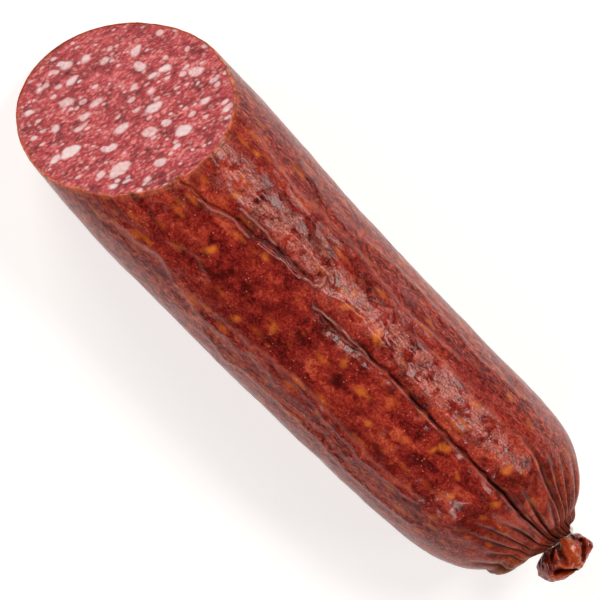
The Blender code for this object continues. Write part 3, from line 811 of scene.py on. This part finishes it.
def makeTuft():
    curveX, curveRadius = tracedOutline(tuft["profile"], 16)
    length = np.concatenate([[0], np.cumsum(np.hypot(np.diff(curveX), np.diff(curveRadius)))])
    shares = np.linspace(0, length[-1], tuft["rows"] + 1)
    past = np.interp(shares, length, curveX)[:, None]
    radius = np.interp(shares, length, curveRadius)[:, None]
    angle = np.linspace(-math.pi, math.pi, tuft["columns"] + 1)[None, :]
    ring = np.stack([np.cos(angle) + 0 * past, np.sin(angle) + 0 * past, 0.12 * past + 0 * angle], -1)
    ring = ring.reshape(-1, 3)
    out = ease((past - 1.5) / 3)
    lobes = sum(depth * bumps(ring, size, seed) for depth, size, seed in tuft["lobes"])
    lobes = 1 + out * lobes.reshape(radius.shape[0], -1)
    across = radius * lobes * np.sin(angle)
    up = radius * lobes * np.cos(angle) * (tuft["flattening"][0] + 0.13 * ease(past / 3))
    local = np.stack([past + 0 * angle, across, up], -1).reshape(-1, 3)
    middle = np.array([5.6, 0.2])
    upper = ease((local[:, 2] + 1.5) / 3)
    foldShade, litRidges = 0 * upper, 0 * upper
    for path, width, height in tuft["strokes"]:
        away = strokeDistance(local[:, :2] - middle, path)
        local[:, 2] += height * bell(away, width) * upper
        # painted shade in the sunken folds
        foldShade = np.maximum(foldShade, ease(-height / 2) * bell(away, 0.8 * width) * upper)
        # painted light on the raised folds
        litRidges = np.maximum(litRidges, ease(height) * bell(away, 0.9 * width) * upper)
    folds = 0.6 * bumps(local, 3.2, 51) - 0.6 * np.abs(bumps(local, 2.1, 52)) + 0.12 * bumps(local, 0.8, 53)
    outward = local * np.array([0, 1, 1]) + np.array([0.6, 0, 0]) * (local[:, :1] - 5)
    outward /= np.linalg.norm(outward, axis=1)[:, None] + 1e-6
    local += outward * (folds * ease((local[:, 0] - 1) / 3))[:, None]
    back, low, high, side = tuft["lean"]
    local[:, 0] -= back * ease((local[:, 2] - low) / (high - low)) * hump(local[:, 1], side) * hump(
        local[:, 0] - 3, 3.5)
    beyond = ease((local[:, 0] - 1) / 3)
    stretch = tuft["stretch"] * (local[:, 0] - middle[0] - local[:, 1]) / 2 * beyond
    local[:, 0] += stretch
    local[:, 1] -= stretch + tuft["aside"] * beyond
    yaw = form["neckYaw"]
    y, z = centreLine(np.array(float(form["clipX"])))
    points = np.stack([
        form["clipX"] + local[:, 0] * math.cos(yaw) - local[:, 1] * math.sin(yaw),
        y + local[:, 0] * math.sin(yaw) + local[:, 1] * math.cos(yaw),
        z + local[:, 2],
    ], -1)
    piece = newGrid("tuft", tuft["columns"], tuft["rows"])
    setPoints(piece, points)
    # painted shade in the folds and under the tuft by the clip
    setAttribute(piece, "valley", np.maximum(foldShade, ease((1.2 - local[:, 0]) / 2) * (1 - upper)))
    # painted light on the raised ridges
    setAttribute(piece, "ridge", litRidges)
    closeUp(piece)
    return piece


def tuftFinish():
    f = Finish("tuftCasing", {
        "Subsurface Weight": 0.1, "Subsurface Radius": (1.0, 0.3, 0.12), "Subsurface Scale": 0.5 * mm,
        "Specular IOR Level": 0.42,
    })
    middle = f.noise(2.6, 4, 0.6, 0.6)
    grain = f.noise(0.7, 3, 0.6)
    colour = f.colours(middle * 0.72 + grain * 0.3, [
        (0.36, (0.10, 0.005, 0.002)), (0.48, (0.22, 0.015, 0.005)), (0.60, (0.38, 0.044, 0.012)),
        (0.74, (0.52, 0.105, 0.024)),
    ])
    # painted light: the raised ridges brighter orange
    colour = f.mix(f.attribute("ridge") * (0.3 + 0.5 * middle), colour, (0.52, 0.095, 0.02))
    # painted shade in the tuft's folds
    colour = f.mix(f.attribute("valley") * 0.8, colour, (0.05, 0.005, 0.002))
    normal = f.bump(f.noise(1.3, 2, 0.5), 0.2)
    return f.use(Base_Color=colour, Roughness=0.14 + 0.1 * grain, Normal=normal)


# Wire clip
wire = {
    "radius": 1.0,
    "clearance": 0.3,
    "opening": math.radians(16),
    "steps": 72,
    "sides": 16,
}


def makeWire():
    halfWidth = form["neckRadius"] + wire["clearance"] + wire["radius"]
    halfHeight = form["neckRadius"] * form["neckFlattening"] + wire["clearance"] + wire["radius"]
    piece = newGrid("clipWire", wire["sides"], wire["steps"])
    round_ = np.linspace(0, math.tau, wire["sides"] + 1)[None, :]
    along = np.linspace(0, 1, wire["steps"] + 1)[:, None]
    angle = wire["opening"] + (math.tau - 2 * wire["opening"]) * along - math.pi
    tip = np.minimum(np.minimum(along, 1 - along) / 0.03, 1)
    thick = wire["radius"] * np.sqrt(1 - (1 - tip) ** 2) + 0.001
    flatTop = 1 - 0.12 * hump(angle, 0.9)  # crimped flatter over the top
    outwards = np.cos(round_) * thick * flatTop
    sideways = np.sin(round_) * thick * (2 - flatTop) * 0.98
    across = (halfWidth + outwards) * np.sin(angle)
    up = (halfHeight + outwards) * np.cos(angle)
    yaw = form["neckYaw"]
    y, z = centreLine(np.array(float(form["clipX"])))
    points = np.stack([
        form["clipX"] + sideways * math.cos(yaw) - across * math.sin(yaw),
        y + sideways * math.sin(yaw) + across * math.cos(yaw),
        z + up + 0 * sideways,
    ], -1)
    setPoints(piece, points.reshape(-1, 3))
    closeUp(piece)
    return piece


def wireFinish():
    f = Finish("drawnWire", {"Metallic": 1.0})
    scuffs = f.noise(0.5, 3, 0.6, 0.0, f.stretched((1, 0.3, 0.3)))
    colour = f.mix(f.step(f.noise(1.6, 3), 0.5, 0.7), (0.66, 0.64, 0.58), (0.36, 0.31, 0.24))
    return f.use(Base_Color=colour, Roughness=0.2 + 0.25 * scuffs, Normal=f.bump(scuffs, 0.03))


def dress(piece, material, node):
    piece.data.materials.clear()
    piece.data.materials.append(material)
    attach(piece, "root")
    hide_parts(node)


casingPiece, rimLine, rimInwards = makeCasing()
dress(casingPiece, casingFinish(), "sausage")
print("casing:", len(casingPiece.data.polygons), "faces")
facePiece = makeCutFace(rimLine, rimInwards)
dress(facePiece, cutFinish(), "sausage")
print("cut face:", len(facePiece.data.polygons), "faces")
tuftPiece = makeTuft()
dress(tuftPiece, tuftFinish(), "sausage")
print("tuft:", len(tuftPiece.data.polygons), "faces")
wirePiece = makeWire()
dress(wirePiece, wireFinish(), "clip")
print("clip:", len(wirePiece.data.polygons), "faces")

# Floor, light and camera
studio = {
    "floorSize": 6.0,  # metres from here on
    "floorColour": (0.6, 0.6, 0.6, 1.0),
    "floorGlow": 0.95,
    "worldColour": (1.0, 0.92, 0.86, 1.0),
    "worldStrength": 0.08,
    "lampColour": (1.0, 0.93, 0.87),
    "lamps": [  # direction from the sausage, distance, size, power in watts
        ((0.12, 0.62, 0.78), 1.1, 0.36, 6.4),
        ((-0.75, 0.35, 0.55), 1.7, 0.6, 11),
        ((-0.75, -0.35, 0.55), 1.7, 0.6, 11),
        ((0.7, 0.5, 0.5), 1.7, 0.3, 3.6),
        ((0.6, -0.65, 0.5), 1.7, 0.3, 8),
    ],
    "aim": (-6, -2.1, 29.9),
    "distance": 600,
    "tilt": math.radians(4.84),
    "roll": math.radians(45),
    "lens": 123.7,
}


def makeStudio():
    deselectAll()
    bpy.ops.mesh.primitive_plane_add(size=studio["floorSize"], location=(0, 0, -0.0002))
    floor = bpy.context.object
    floor.name = "floor"
    f = Finish("paleFloor", {
        "Base Color": studio["floorColour"], "Roughness": 0.7, "Specular IOR Level": 0.2,
        "Emission Color": studio["floorColour"], "Emission Strength": studio["floorGlow"],  # lit from below
    })
    floor.data.materials.append(f.material)
    world = bpy.data.worlds.new("studio")
    world.use_nodes = True
    world.node_tree.nodes["Background"].inputs["Color"].default_value = studio["worldColour"]
    world.node_tree.nodes["Background"].inputs["Strength"].default_value = studio["worldStrength"]
    bpy.context.scene.world = world
    for i, (direction, distance, size, power) in enumerate(studio["lamps"]):
        lamp = bpy.data.lights.new(f"softbox{i}", "AREA")
        lamp.shape = "SQUARE"
        lamp.size = size
        lamp.energy = power
        lamp.color = studio["lampColour"]
        holder = bpy.data.objects.new(f"softbox{i}", lamp)
        back = Vector(direction).normalized()
        holder.location = back * distance
        holder.rotation_euler = back.to_track_quat("Z", "Y").to_euler()
        bpy.context.scene.collection.objects.link(holder)


def makeCamera():
    lens = bpy.data.cameras.new("camera")
    lens.lens = studio["lens"]
    lens.sensor_width = 36
    lens.clip_start = 0.01
    camera = bpy.data.objects.new("camera", lens)
    back = Vector((-math.sin(studio["tilt"]), 0, math.cos(studio["tilt"])))
    along = Vector((math.cos(studio["tilt"]), 0, math.sin(studio["tilt"])))
    right = along * math.cos(studio["roll"]) + Vector((0, 1, 0)) * math.sin(studio["roll"])
    up = back.cross(right)
    camera.matrix_world = Matrix.Translation((Vector(studio["aim"]) + back * studio["distance"]) * mm) @ Matrix(
        (right, up, back)).transposed().to_4x4()
    bpy.context.scene.collection.objects.link(camera)
    bpy.context.scene.camera = camera


makeStudio()
makeCamera()
bpy.context.scene.view_settings.view_transform = "Standard"
print("studio ready")
